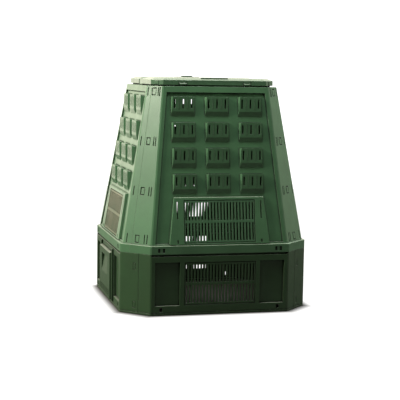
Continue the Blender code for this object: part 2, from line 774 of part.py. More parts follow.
def hatched_base(name, material):
    """Side base panel with a hatch opening, two guide rails and a sill."""
    panel = base_panel(name, False, rail_inner_x() + RAIL_WEB + RAIL_RECESS_MARGIN, material)
    cut(panel, lofts("windows", base_snap_boxes(1 - BASE_SNAP_SHARE, 0.0, -PAST, WALL + PAST)))
    opening = (2 * (HATCH_HALF - OPENING_MARGIN), HATCH_HEIGHT - 2 * OPENING_MARGIN)
    middle = HATCH_BOTTOM + HATCH_HEIGHT / 2
    cut(panel, loft("hatch_opening", front_hole(0, middle, opening, WALL + PAST)))
    flange_out = HATCH_GAP + HATCH_SKIN
    lip_in = flange_out + FIT_GAP * 2
    rail_top = BASE_TOP - WALL
    sill_top = HATCH_BOTTOM - SEAT_GAP
    pieces = [box_rings((-rail_inner_x() - RAIL_WEB, -BASE_HALF - flange_out, sill_top - SILL_HEIGHT),
                        (rail_inner_x() + RAIL_WEB, -BASE_HALF + WALL / 2, sill_top))]
    profile = [(rail_inner_x(), WALL / 2), (rail_inner_x() + RAIL_WEB, WALL / 2),
               (rail_inner_x() + RAIL_WEB, -lip_in - RAIL_LIP),
               (HATCH_HALF + RAIL_LIP_GAP, -lip_in - RAIL_LIP),
               (HATCH_HALF + RAIL_LIP_GAP, -lip_in), (rail_inner_x(), -lip_in)]
    for sign in (-1, 1):
        pieces.append([[(sign * x, -BASE_HALF + y, z) for x, y in profile]
                       for z in (sill_top - SILL_HEIGHT / 2, rail_top)])
    add(panel, loft("sill", pieces[0]))
    add(panel, lofts("rails", pieces[1:]))
    return tidy(panel)


# Hatches

def hatch(name, material):
    """A shallow tray with flanges for the rails, a hand scoop and a row of drain slots."""
    back = -BASE_HALF - HATCH_GAP
    low, high = HATCH_BOTTOM, HATCH_BOTTOM + HATCH_HEIGHT
    front = -BASE_HALF - HATCH_PROUD
    plate = loft(name, box_rings((-HATCH_HALF - HATCH_FLANGE, back - HATCH_SKIN, low),
                                 (HATCH_HALF + HATCH_FLANGE, back, high)), material)

    def tray(inset, y_back, y_front):
        x, z0, z1 = HATCH_HALF - inset, low + inset, high - inset
        d = HATCH_DRAFT
        return [[(-x, y_back, z0), (x, y_back, z0), (x, y_back, z1), (-x, y_back, z1)],
                [(-x + d, y_front, z0 + d), (x - d, y_front, z0 + d),
                 (x - d, y_front, z1 - d), (-x + d, y_front, z1 - d)]]

    def scoop(grow, extra):
        top = high - SCOOP_DROP + grow
        deep = front + SCOOP_DEPTH + grow
        bottom = top - SCOOP_HEIGHT - grow
        ring = [(front - extra, top), (deep, top), (deep, top - SCOOP_HEIGHT * 0.12),
                (front + grow, bottom), (front - extra, bottom)]
        return [[(sign * (SCOOP_HALF + grow), y, z) for y, z in ring] for sign in (-1, 1)]

    add(plate, loft("tray", tray(0.0, back - HATCH_SKIN / 2, front)))
    cut(plate, loft("hollow", tray(HATCH_SKIN, back + PAST, front + HATCH_SKIN)))
    add(plate, loft("scoop_body", scoop(HATCH_SKIN * 0.8, -HATCH_SKIN / 2)))
    slots = [scoop(0.0, 2 * PAST)]
    width, height = HATCH_SLOT_SIZE
    pitch = 2 * (HATCH_HALF - HATCH_DRAFT - width) / HATCH_SLOTS
    for k in range(HATCH_SLOTS):
        x = (k - (HATCH_SLOTS - 1) / 2) * pitch
        slots.append(box_rings((x - width / 2, front - PAST, low + HATCH_SLOT_Z),
                               (x + width / 2, front + HATCH_SKIN + PAST, low + HATCH_SLOT_Z + height)))
    cut(plate, lofts("scoop_and_slots", slots))
    return tidy(plate)


# Locking clips

def locking_clip(name, material):
    """A square head in the skirt's notch, a shank through the upstand and a barb behind it."""
    outer = -BASE_HALF + LAP
    rings = []
    head_w, head_h = CLIP_HEAD[0] / 2, CLIP_HEAD[1] / 2
    shank_w, shank_h = CLIP_HOLE[0] / 2 - SEAT_GAP, CLIP_HOLE[1] / 2 - SEAT_GAP
    behind = outer + WALL + SEAT_GAP
    steps = [(outer - WALL, head_w, head_h), (outer - SEAT_GAP, head_w, head_h),
             (outer - SEAT_GAP, shank_w, shank_h), (behind, shank_w, shank_h),
             (behind, shank_w + CLIP_BARB, shank_h), (behind + CLIP_BARB_LENGTH, shank_w, shank_h)]
    for y, w, h in steps:
        rings.append([(-w, y, -h), (w, y, -h), (w, y, h), (-w, y, h)])
    return loft(name, rings, material)


def clip_places():
    for side in SIDES:
        for hand, sign in (("a", -1), ("b", 1)):
            yield f"clip_{side}_{hand}", turned(side) @ Matrix.Translation((sign * CLIP_X, 0, CLIP_Z))


# Lid

def leaf_ring(inset, z, near_inset):
    """Half an octagon: the front leaf's outline at height z, moved in by inset."""
    half = LID_HALF - inset
    face = half - (LID_CUT - inset * (2 - sqrt(2)))
    near = HINGE_Y + LEAF_EDGE_GAP + near_inset
    return [(-half, -near, z), (-half, -face, z), (-face, -half, z),
            (face, -half, z), (half, -face, z), (half, -near, z)]


def leaf_solid(name, skin, bottom, material=None):
    """The crowned form of a leaf, moved in all round by skin."""
    steps = [(skin, bottom), (skin, LID_TOP - LID_EASE - skin), (skin + LID_EASE, LID_TOP - skin),
             (skin + LID_CROWN_INSET, LID_TOP + LID_CROWN - skin)]
    return loft(name, [leaf_ring(inset, z, inset) for inset, z in steps], material)


def lid_leaf(name, hump, material):
    """The front leaf: a crowned shell with rim, ribs, knuckles, snap tongues, grip and finger pocket."""
    leaf = leaf_solid(name, 0.0, LID_BOTTOM, material)
    cut(leaf, leaf_solid("leaf_hollow", LID_SKIN, LID_BOTTOM - PAST))
    add(leaf, lofts("ribs", seat_ribs() + stiffening_ribs()))
    grip_y = -LID_HALF + GRIP_INSET
    pocket_y = grip_y + GRIP_THICK
    w, d = POCKET_SIZE[0] / 2, POCKET_SIZE[1]
    top = LID_TOP + LID_CROWN
    floor = top - POCKET_DEPTH
    add(leaf, loft("pocket_body", box_rings((-w - LID_SKIN, pocket_y - LID_SKIN, floor - LID_SKIN),
                                            (w + LID_SKIN, pocket_y + d + LID_SKIN, top - LID_SKIN / 2))))
    add(leaf, loft("grip", [[(x, y, z) for x, z in grip_outline(hump)] for y in (grip_y, pocket_y)]))
    cut(leaf, loft("pocket", box_rings((-w, pocket_y, floor), (w, pocket_y + d, top + 2 * GRIP_HIGH))))
    cut(leaf, lofts("tongue_slits", tongue_slits()))
    add(leaf, lofts("tongue_hooks", tongue_hooks()))
    add_knuckles(leaf)
    return tidy(leaf)


def grip_outline(hump):
    """A low lip, with a hump in its middle where the leaf has one."""
    low, crest, high = LID_TOP + GRIP_LOW, GRIP_CREST / 2, LID_TOP + GRIP_HIGH
    right = [(GRIP_BASE / 2, LID_TOP + LID_SKIN / 2), (GRIP_BASE / 2 - GRIP_EASE, low)]
    if hump:
        rise = high - low
        right += [(crest, low + rise / 12), (crest - GRIP_SHOULDER * 0.4, low + rise * 0.6),
                  (crest - GRIP_SHOULDER, high)]
    return right + [(-x, z) for x, z in reversed(right)]


def seat_ribs():
    """Ribs under the rim that stand on the walls' top flanges."""
    outer = LID_HALF - SEAT_RIB_INSET
    inner = outer - SEAT_RIB_THICK
    low, high = WALL_TOP + SEAT_GAP, LID_TOP - LID_SKIN / 3
    ribs = [box_rings((-SEAT_RIB_HALF, -outer, low), (SEAT_RIB_HALF, -inner, high))]
    return ribs + both_sides(box_rings((inner, -SEAT_RIB_HALF, low), (outer, -SEAT_RIB_NEAR, high)))


def stiffening_ribs():
    """Two ribs from the front rim to the hinge edge, under the crown."""
    skin = LID_SKIN / 2
    near = HINGE_Y + LEAF_EDGE_GAP
    far = LID_HALF - SEAT_RIB_INSET - SEAT_RIB_THICK - PAST
    foot = LID_BOTTOM + STIFF_RIB_RISE
    profile = [(-far, foot), (-near - skin, foot), (-near - skin, LID_TOP - LID_EASE - skin),
               (-near - LID_CROWN_INSET - skin, LID_TOP + LID_CROWN - skin),
               (-LID_HALF + LID_CROWN_INSET + skin, LID_TOP + LID_CROWN - skin), (-far, LID_TOP - skin / 2)]
    places = [[side * STIFF_RIB_X + step * STIFF_RIB_THICK / 2 for step in (-1, 1)] for side in (-1, 1)]
    return [[[(x, y, z) for y, z in profile] for x in pair] for pair in places]


def tongue_slits():
    """Upright slits either side of each snap tongue in the front rim."""
    rings = []
    for sign in (-1, 1):
        for edge in (-1, 1):
            x = sign * TONGUE_X + edge * TONGUE_WIDTH / 2
            rings.append(box_rings(
                (x - TONGUE_SLIT / 2, -LID_HALF - PAST, LID_BOTTOM - PAST),
                (x + TONGUE_SLIT / 2, -LID_HALF + LID_SKIN + FIT_GAP, LID_TOP - TONGUE_ROOT)))
    return rings


def tongue_hooks():
    """A thumb bar along the bottom of each tongue."""
    rings = []
    w = TONGUE_WIDTH / 2 - TONGUE_SLIT
    for sign in (-1, 1):
        x = sign * TONGUE_X
        low = LID_BOTTOM + FIT_GAP
        rings.append([[(x - w, y, low), (x + w, y, low), (x + w, y, top), (x - w, y, top)]
                      for y, top in ((-LID_HALF - TONGUE_HOOK, low + TONGUE_BAR),
                                     (-LID_HALF + LID_SKIN / 2, low + 2 * TONGUE_BAR))])
    return rings


def hinge_eye(x0, x1, reach, low, high):
    """A round eye on the front hinge line with a straight web that reaches towards +Y or -Y."""
    sign = 1 if reach > 0 else -1
    arc = [radians(90 + 180 * k / 8) for k in range(9)]
    ring = [(sign * KNUCKLE_RADIUS * cos(a) - HINGE_Y, HINGE_Z + KNUCKLE_RADIUS * sin(a)) for a in arc]
    ring += [(reach - HINGE_Y, HINGE_Z - low), (reach - HINGE_Y, HINGE_Z + high)]
    return [[(x, y, z) for y, z in ring] for x in (x0, x1)]


def hinge_bore(x0, x1):
    return cylinder_rings((-HINGE_Y, HINGE_Z), PIN_RADIUS + PIN_GAP, x0 - FIT_GAP, x1 + FIT_GAP)


def lug_spans():
    """Each hinge has two lugs of the bar, one either side of the leaf's knuckle."""
    start = KNUCKLE_WIDTH / 2 + HINGE_GAP
    for sign in (-1, 1):
        for a, b in ((-start - LUG_WIDTH, -start), (start, start + LUG_WIDTH)):
            yield sign * HINGE_X + a, sign * HINGE_X + b


def add_knuckles(leaf):
    """Notches that clear the bar's lugs, and bored knuckles between them."""
    low, high = LID_BOTTOM - PAST, LID_TOP + LID_CROWN + PAST
    near = KNUCKLE_WIDTH / 2 + HINGE_GAP / 2
    far = KNUCKLE_WIDTH / 2 + LUG_WIDTH + PIN_HEAD_LENGTH + 4 * HINGE_GAP
    notches = []
    for sign in (-1, 1):
        for a, b in ((-far, -near), (near, far)):
            x = sign * HINGE_X
            notches.append(box_rings((x + a, -HINGE_Y - NOTCH_RADIUS, low), (x + b, -HINGE_Y + PAST, high)))
    cut(leaf, lofts("notches", notches))
    eyes, bores = [], []
    for sign in (-1, 1):
        x0, x1 = sign * HINGE_X - KNUCKLE_WIDTH / 2, sign * HINGE_X + KNUCKLE_WIDTH / 2
        eyes.append(hinge_eye(x0, x1, -KNUCKLE_REACH, KNUCKLE_RADIUS, KNUCKLE_WEB))
        bores.append(hinge_bore(x0, x1))
    add(leaf, lofts("knuckles", eyes))
    return cut(leaf, lofts("bores", bores))


def lid_bar(name, material):
    """The cross bar: a hat section on the side walls' flanges, with bored lugs for the leaves' pins."""
    end = LID_HALF - BAR_END_GAP
    low = WALL_TOP + SEAT_GAP
    step = low + BAR_FLANGE_THICK
    right = [(BAR_FLANGE_HALF, low), (BAR_FLANGE_HALF, step), (BAR_HALF, step),
             (BAR_HALF, BAR_TOP - BAR_CHAMFER), (BAR_HALF - BAR_CHAMFER, BAR_TOP)]
    section = right + [(-y, z) for y, z in reversed(right)]
    bar = loft(name, [[(x, y, z) for y, z in section] for x in (-end, end)], material)
    inner_y = BAR_HALF - BAR_SKIN
    cut(bar, loft("channel", box_rings((-end + BAR_SKIN, -inner_y, low - PAST),
                                       (end - BAR_SKIN, inner_y, BAR_TOP - BAR_SKIN))))
    half = BAR_RIB_THICK / 2
    ribs = [box_rings((k * BAR_RIB_PITCH - half, -inner_y - half, step + half),
                      (k * BAR_RIB_PITCH + half, inner_y + half, BAR_TOP - BAR_SKIN / 2))
            for k in range(-2, 3)]
    add(bar, lofts("bar_ribs", ribs))
    lugs, bores = [], []
    reach = HINGE_Y - BAR_HALF + BAR_SKIN / 2
    for x0, x1 in lug_spans():
        eye = hinge_eye(x0, x1, reach, LUG_WEB_LOW, LUG_WEB_HIGH)
        lugs += [eye, turned_rings(eye)]
        bore = hinge_bore(x0, x1)
        bores += [bore, turned_rings(bore)]
    add(bar, lofts("lugs", lugs))
    cut(bar, lofts("lug_bores", bores))
    return tidy(bar)


def turned_rings(rings):
    """The same rings on the other side of the bin."""
    return [[(-x, -y, z) for x, y, z in ring] for ring in rings]


def hinge_pin(name, material):
    """A plain pin with a small head, along X about its own origin."""
    half = KNUCKLE_WIDTH / 2 + HINGE_GAP + LUG_WIDTH + HINGE_GAP
    steps = [(-half, PIN_RADIUS), (half, PIN_RADIUS), (half, PIN_HEAD_RADIUS),
             (half + PIN_HEAD_LENGTH, PIN_HEAD_RADIUS)]
    turns = [2 * pi * (k + 0.5) / 16 for k in range(16)]
    rings = [[(x, r * cos(a), r * sin(a)) for a in turns] for x, r in steps]
    return tidy(loft(name, rings, material))


def pin_places():
    for side in ("front", "back"):
        for hand, sign, spin in (("a", -1, 180), ("b", 1, 0)):
            spot = Matrix.Translation((sign * HINGE_X, -HINGE_Y, HINGE_Z))
            yield f"hinge_pin_{side}_{hand}", turned(side) @ spot @ Matrix.Rotation(radians(spin), 4, "Z")


# Assembly

def clear_scene():
    for obj in list(bpy.data.objects):
        bpy.data.objects.remove(obj, do_unlink=True)


def about(obj, point):
    """Move the mesh so that the object's origin is at a point that it turns about or slides from."""
    obj.data.transform(Matrix.Translation(-Vector(point)))
    return obj


def main():
    clear_scene()
    wall = plastic("wall_plastic", (0.095, 0.185, 0.098), 0.42)
    base = plastic("base_plastic", (0.050, 0.098, 0.052), 0.50)
    vent = plastic("vent_plastic", (0.080, 0.160, 0.085), 0.45)
    lid = plastic("lid_plastic", (0.100, 0.195, 0.102), 0.40)
    small = plastic("clip_plastic", (0.070, 0.145, 0.076), 0.45)
    copies(wall_panel("wall_front", False, wall),
           [(f"wall_{side}", turned(side)) for side in ("front", "back")])
    copies(wall_panel("wall_left", True, wall),
           [(f"wall_{side}", turned(side)) for side in ("left", "right")])
    copies(vent_insert("vent_front", vent), [(f"vent_{side}", wall_vent_place(side)) for side in SIDES])
    copies(vent_insert("base_vent_front", base),
           [(f"base_vent_{side}", base_vent_place(side)) for side in ("front", "back")])
    copies(vented_base("base_front", base), [(f"base_{side}", turned(side)) for side in ("front", "back")])
    copies(hatched_base("base_left", base), [(f"base_{side}", turned(side)) for side in ("left", "right")])
    slide = (0.0, -BASE_HALF - HATCH_GAP, HATCH_BOTTOM)
    copies(about(hatch("hatch_left", base), slide),
           [(f"hatch_{side}", turned(side) @ Matrix.Translation(slide)) for side in ("left", "right")])
    copies(locking_clip("clip_front_a", small), list(clip_places()))
    hinge = (0.0, -HINGE_Y, HINGE_Z)
    for side in ("front", "back"):
        leaf = lid_leaf(f"lid_leaf_{side}", side == "back", lid)
        copies(about(leaf, hinge), [(f"lid_leaf_{side}", turned(side) @ Matrix.Translation(hinge))])
    lid_bar("lid_bar", lid)
    copies(hinge_pin("hinge_pin_front_a", small), list(pin_places()))


main()
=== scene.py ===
# %% [markdown]
# # A garden compost bin in moulded plastic
# The bin is a tapered square ring of clipped panels on a straight base ring. Four walls carry rows
# of small louvred hoods, slotted grilles let air in low down, and a split lid closes the mouth.
# The solid model is loaded first and stays as it is. This file gives it its plastic, its finest
# moulded detail, its light and its camera.

# %% Load the model
import json
from math import cos, pi, radians, sin

import bpy
import bmesh
from mathutils import Matrix, Vector


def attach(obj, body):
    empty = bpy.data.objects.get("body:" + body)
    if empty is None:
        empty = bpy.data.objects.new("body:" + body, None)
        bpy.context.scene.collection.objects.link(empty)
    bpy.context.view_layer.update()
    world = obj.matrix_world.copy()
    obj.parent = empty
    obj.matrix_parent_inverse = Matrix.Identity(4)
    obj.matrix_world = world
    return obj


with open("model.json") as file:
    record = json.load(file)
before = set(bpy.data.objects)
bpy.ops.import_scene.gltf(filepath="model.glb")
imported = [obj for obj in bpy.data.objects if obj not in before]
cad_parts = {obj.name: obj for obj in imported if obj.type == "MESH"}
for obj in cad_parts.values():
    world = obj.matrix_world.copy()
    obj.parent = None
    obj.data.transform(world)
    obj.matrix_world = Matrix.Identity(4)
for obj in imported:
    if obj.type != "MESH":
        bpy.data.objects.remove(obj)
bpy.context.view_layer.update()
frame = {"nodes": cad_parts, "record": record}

# %% [markdown]
# ## The camera
# The photograph was taken from the front and a little to the left, with a long lens at about the
# height of the lid. The corners of the base ring and the wall tops fix the place, the turn and the
# focal length, so the camera is built from those numbers and not by eye. Its three axes are worked
# out from the turn, and together they are the rotation part of its matrix.

# %% Camera
CAMERA_PLACE = (-1.3452, -5.3337, 1.0779)
CAMERA_YAW = radians(14.264)
CAMERA_PITCH = radians(6.415)
CAMERA_ROLL = radians(0.928)
CAMERA_LENS = 105.0
CAMERA_SENSOR = 36.0

forward = Vector((sin(CAMERA_YAW) * cos(CAMERA_PITCH), cos(CAMERA_YAW) * cos(CAMERA_PITCH),
                  -sin(CAMERA_PITCH)))
level = Vector((cos(CAMERA_YAW), -sin(CAMERA_YAW), 0.0))
upright = level.cross(forward)
right = cos(CAMERA_ROLL) * level + sin(CAMERA_ROLL) * upright
up = -sin(CAMERA_ROLL) * level + cos(CAMERA_ROLL) * upright
camera_turn = Matrix((right, up, -forward)).transposed().to_4x4()
camera = bpy.data.objects.new("camera", bpy.data.cameras.new("camera"))
camera.data.lens = CAMERA_LENS
camera.data.sensor_width = CAMERA_SENSOR
camera.matrix_world = Matrix.Translation(CAMERA_PLACE) @ camera_turn
bpy.context.scene.collection.objects.link(camera)
bpy.context.scene.camera = camera
bpy.context.scene.view_settings.view_transform = "Standard"
print("camera", CAMERA_LENS, "mm at", CAMERA_PLACE)

# %% [markdown]
# ## Two small helpers
# Screen colours are easy to read as hex, but the shader adds light, so it needs linear values. One
# function turns the one into the other. A second adds a node, sets it and links it in one call.
# The Mix node repeats its socket names for each type of data, so its sockets go by number.

# %% Colour and node helpers
MIX_SHARE = 0
COLOUR_UNDER, COLOUR_OVER, COLOUR_MIXED = 6, 7, 2
NUMBER_UNDER, NUMBER_OVER, NUMBER_MIXED = 2, 3, 0


def linear(hex_colour):
    """An sRGB hex colour as a linear RGBA tuple."""
    parts = [int(hex_colour[i:i + 2], 16) / 255 for i in (1, 3, 5)]
    return tuple(p / 12.92 if p <= 0.04045 else ((p + 0.055) / 1.055) ** 2.4 for p in parts) + (1.0,)


def add_node(tree, kind, settings=None, inputs=None):
    """Add a node, set its properties, and set or link its inputs."""
    node = tree.nodes.new(kind)
    for key, value in (settings or {}).items():
        setattr(node, key, value)
    for key, value in (inputs or {}).items():
        if isinstance(value, bpy.types.NodeSocket):
            tree.links.new(value, node.inputs[key])
        else:
            node.inputs[key].default_value = value
    return node


print("a middle grey of #808080 gives back", round(linear("#808080")[0], 3), "of the light")

# %% [markdown]
# ## The plastic
# The panels are injection-moulded polypropylene with a green pigment and a light spark-eroded
# grain. That gives the eye a satin sheen, which brightens at a glancing angle, and soft rounded
# edges. Its colour could be one flat green, but the real one is layered, and so it is made here:
# the pigment comes first, then scuffs, dust with a painted sheen, soil, the compost's stain with
# painted shade inside, and painted shade in gaps and corners. Each layer is a short function that
# takes the colour so far and gives the next. The first is the pigment, which clouds a little where
# the melt flowed.

# %% Pigment
FLOW_CLOUD_MM = 90
CLOUD_RANGE = (0.35, 0.65)


def flow_clouds(tree, place):
    """Broad soft clouds, as numbers from 0 to 1."""
    return add_node(tree, "ShaderNodeTexNoise", {}, {
        "Vector": place, "Scale": 1000 / FLOW_CLOUD_MM, "Detail": 3.0, "Roughness": 0.55}).outputs["Fac"]


def pigmented(tree, clouds, pigment, cloud):
    """The pigment, which goes over to a second shade in the clouds."""
    share = add_node(tree, "ShaderNodeMapRange", {}, {
        "Value": clouds, "From Min": CLOUD_RANGE[0], "From Max": CLOUD_RANGE[1]})
    return add_node(tree, "ShaderNodeMix", {"data_type": "RGBA"}, {
        MIX_SHARE: share.outputs["Result"], COLOUR_UNDER: linear(pigment),
        COLOUR_OVER: linear(cloud)}).outputs[COLOUR_MIXED]


print("flow clouds are", FLOW_CLOUD_MM, "mm across")

# %% [markdown]
# Outer edges are rubbed pale by handling. The Bevel node gives a normal that is rounded near an
# edge, and where it leans away from the face's own normal there is an edge to scuff.

# %% Scuffed edges
EDGE_RADIUS_MM = 2.0
EDGE_SCUFF = 0.30
SCUFF_COLOUR = "#8fa98c"
SCUFF_LEAN = (0.985, 0.80)   # cosine of the lean, where the scuff starts and where it is full


def scuffed(tree, colour, surface, rounded):
    """Pale edges over a colour."""
    square_on = add_node(tree, "ShaderNodeVectorMath", {"operation": "DOT_PRODUCT"}, {
        0: rounded, 1: surface.outputs["Normal"]})
    share = add_node(tree, "ShaderNodeMapRange", {}, {
        "Value": square_on.outputs["Value"], "From Min": SCUFF_LEAN[0], "From Max": SCUFF_LEAN[1],
        "To Max": EDGE_SCUFF})
    return add_node(tree, "ShaderNodeMix", {"data_type": "RGBA"}, {
        MIX_SHARE: share.outputs["Result"], COLOUR_UNDER: colour,
        COLOUR_OVER: linear(SCUFF_COLOUR)}).outputs[COLOUR_MIXED]


print("edges are rounded to the eye by", EDGE_RADIUS_MM, "mm and scuffed by", EDGE_SCUFF)

# %% [markdown]
# Dust settles on what faces the sky, so its share grows with the upward part of the normal. On the
# lid, which lies flat, the same pale layer is laid on more thickly as a painted sheen, the pale
# reflection of the room at a glancing angle, so the lid holds more of it than the walls.

# %% Dust and painted sheen
# Pale colour for dust, and on the lid for a painted sheen too.
DUST_AND_SHEEN_COLOUR = "#babbb0"
DUST_AND_SHEEN_TILT = (0.35, 1.0)   # upward part of the normal, where dust starts and where it is full
DUST_AND_SHEEN_SHARE = 0.22
# On the lid, most of this share is painted sheen.
LID_DUST_AND_SHEEN_SHARE = 0.32


def dusted_and_sheened(tree, colour, surface, most):
    """Dust, and on the lid a painted sheen, on what faces up."""
    facing = add_node(tree, "ShaderNodeSeparateXYZ", {}, {0: surface.outputs["Normal"]})
    share = add_node(tree, "ShaderNodeMapRange", {}, {
        "Value": facing.outputs["Z"], "From Min": DUST_AND_SHEEN_TILT[0], "From Max": DUST_AND_SHEEN_TILT[1], "To Max": most})
    return add_node(tree, "ShaderNodeMix", {"data_type": "RGBA"}, {
        MIX_SHARE: share.outputs["Result"], COLOUR_UNDER: colour,
        COLOUR_OVER: linear(DUST_AND_SHEEN_COLOUR)}).outputs[COLOUR_MIXED]


print("dust covers up to", LID_DUST_AND_SHEEN_SHARE, "of the lid and", DUST_AND_SHEEN_SHARE, "elsewhere")

# %% [markdown]
# Rain throws soil at the base ring. The splash is strongest at the ground and fades out a hand's
# breadth up, broken into drops by a fine noise.

# %% Soil splash
SOIL_COLOUR = "#3d3524"
SOIL_DROP_MM = 12
SOIL_DROP_RANGE = (0.4, 0.65)
SPLASH_HEIGHT = 0.16


def soil_splashed(tree, colour, place, most):
    """Soil drops thrown up by rain."""
    height = add_node(tree, "ShaderNodeSeparateXYZ", {}, {0: place})
    low_down = add_node(tree, "ShaderNodeMapRange", {}, {
        "Value": height.outputs["Z"], "From Max": SPLASH_HEIGHT, "To Min": most, "To Max": 0.0})
    drops = add_node(tree, "ShaderNodeTexNoise", {}, {
        "Vector": place, "Scale": 1000 / SOIL_DROP_MM, "Detail": 4.0, "Roughness": 0.7})
    drop_share = add_node(tree, "ShaderNodeMapRange", {}, {
        "Value": drops.outputs["Fac"], "From Min": SOIL_DROP_RANGE[0], "From Max": SOIL_DROP_RANGE[1]})
    share = add_node(tree, "ShaderNodeMath", {"operation": "MULTIPLY"}, {
        0: low_down.outputs["Result"], 1: drop_share.outputs["Result"]})
    return add_node(tree, "ShaderNodeMix", {"data_type": "RGBA"}, {
        MIX_SHARE: share.outputs["Value"], COLOUR_UNDER: colour,
        COLOUR_OVER: linear(SOIL_COLOUR)}).outputs[COLOUR_MIXED]


print("soil reaches", round(SPLASH_HEIGHT * 1000), "mm up in drops of", SOIL_DROP_MM, "mm")

# %% [markdown]
# The compost has stained the inside of the panels, and the same dark brown also serves as painted
# shade, which darkens the inside where it shows through slots and gaps. A face is inside where it
# looks towards the bin's upright axis, so its own normal is set against its place beside that axis.
# Both are taken in the object's own space, so that the stain and the painted shade stay on a lid
# leaf or a hatch that moves.

# %% Stain and painted shade on the inside
# Dark brown for the compost's stain and for painted shade inside.
STAIN_AND_SHADE_COLOUR = "#2b2719"
INSIDE_STAIN_AND_SHADE = 0.45
INWARD_RANGE = (-0.22, -0.27)   # metres, where a face starts to count as inside, and where it does
LEVEL_PART = (1.0, 1.0, 0.0)   # takes the height out of a place


def stained_and_shaded_inside(tree, colour, coordinates):
    """A brown stain, partly painted shade, on what faces the heap."""
    beside_axis = add_node(tree, "ShaderNodeVectorMath", {"operation": "MULTIPLY"}, {
        0: coordinates.outputs["Object"], 1: LEVEL_PART})
    outward = add_node(tree, "ShaderNodeVectorMath", {"operation": "DOT_PRODUCT"}, {
        0: coordinates.outputs["Normal"], 1: beside_axis.outputs["Vector"]})
    share = add_node(tree, "ShaderNodeMapRange", {}, {
        "Value": outward.outputs["Value"], "From Min": INWARD_RANGE[0], "From Max": INWARD_RANGE[1],
        "To Max": INSIDE_STAIN_AND_SHADE})
    return add_node(tree, "ShaderNodeMix", {"data_type": "RGBA"}, {
        MIX_SHARE: share.outputs["Result"], COLOUR_UNDER: colour,
        COLOUR_OVER: linear(STAIN_AND_SHADE_COLOUR)}).outputs[COLOUR_MIXED]


# The share holds the stain and the painted shade together.
print("the stain covers", INSIDE_STAIN_AND_SHADE, "of the inside")

# %% [markdown]
# Narrow gaps and inner corners get painted shade: a dark colour laid where shade falls. The Ambient
# Occlusion node says how open a point is to its surroundings within a few millimetres. The painted
# shade is dull as well as dark, so its share is used for the gloss too.

# %% Painted shade in gaps and corners
# The dark colour painted into gaps and corners as shade.
PAINTED_SHADE_COLOUR = "#0c130a"
CREVICE_MM = 9
OPENNESS_RANGE = (0.56, 0.92)   # from closed in and fully shaded to open and unshaded


def painted_shade_share(tree):
    """How much painted shade a point gets, from 0 to 1."""
    openness = add_node(tree, "ShaderNodeAmbientOcclusion", {"samples": 8, "only_local": False}, {
        "Distance": CREVICE_MM / 1000})
    return add_node(tree, "ShaderNodeMapRange", {}, {
        "Value": openness.outputs["AO"], "From Min": OPENNESS_RANGE[0], "From Max": OPENNESS_RANGE[1],
        "To Min": 1.0, "To Max": 0.0}).outputs["Result"]


def with_painted_shade(tree, colour, share):
    """Painted shade over a colour."""
    return add_node(tree, "ShaderNodeMix", {"data_type": "RGBA"}, {
        MIX_SHARE: share, COLOUR_UNDER: colour,
        COLOUR_OVER: linear(PAINTED_SHADE_COLOUR)}).outputs[COLOUR_MIXED]


print("grime gathers where something else is within", CREVICE_MM, "mm")

# %% [markdown]
# The surface itself has a fine grain from the spark-eroded mould, drawn as a low bump on the
# rounded normal. The sheen drifts with the flow clouds and is gone where the painted shade lies.

# %% Grain and gloss
GRAIN_MM = 3.0   # the real grain is near 0.3 mm, too fine to show from five metres
GRAIN_STRENGTH = 0.12
GRAIN_DEPTH = 0.0004
GLOSS_DRIFT = 0.06


def grained(tree, place, rounded):
    """The rounded normal with a fine grain on it."""
    grain = add_node(tree, "ShaderNodeTexNoise", {}, {
        "Vector": place, "Scale": 1000 / GRAIN_MM, "Detail": 2.0})
    return add_node(tree, "ShaderNodeBump", {}, {
        "Strength": GRAIN_STRENGTH, "Distance": GRAIN_DEPTH, "Height": grain.outputs["Fac"],
        "Normal": rounded}).outputs["Normal"]


def satin(tree, clouds, roughness, painted_shade):
    """Roughness that drifts a little, and is full where the painted shade lies."""
    clean = add_node(tree, "ShaderNodeMapRange", {}, {
        "Value": clouds, "To Min": roughness - GLOSS_DRIFT, "To Max": roughness + GLOSS_DRIFT})
    return add_node(tree, "ShaderNodeMix", {"data_type": "FLOAT"}, {
        MIX_SHARE: painted_shade, NUMBER_UNDER: clean.outputs["Result"],
        NUMBER_OVER: 1.0}).outputs[NUMBER_MIXED]


print("grain drawn", GRAIN_MM, "mm apart")

# %% [markdown]
# One function puts the layers together in order, the painted shade last, and gives back the
# plastic. Only the pigment, the roughness and the amounts of soil and of dust with its painted
# sheen differ from one moulding to the next.

# %% Moulded polypropylene
POLYPROPYLENE_IOR = 1.49


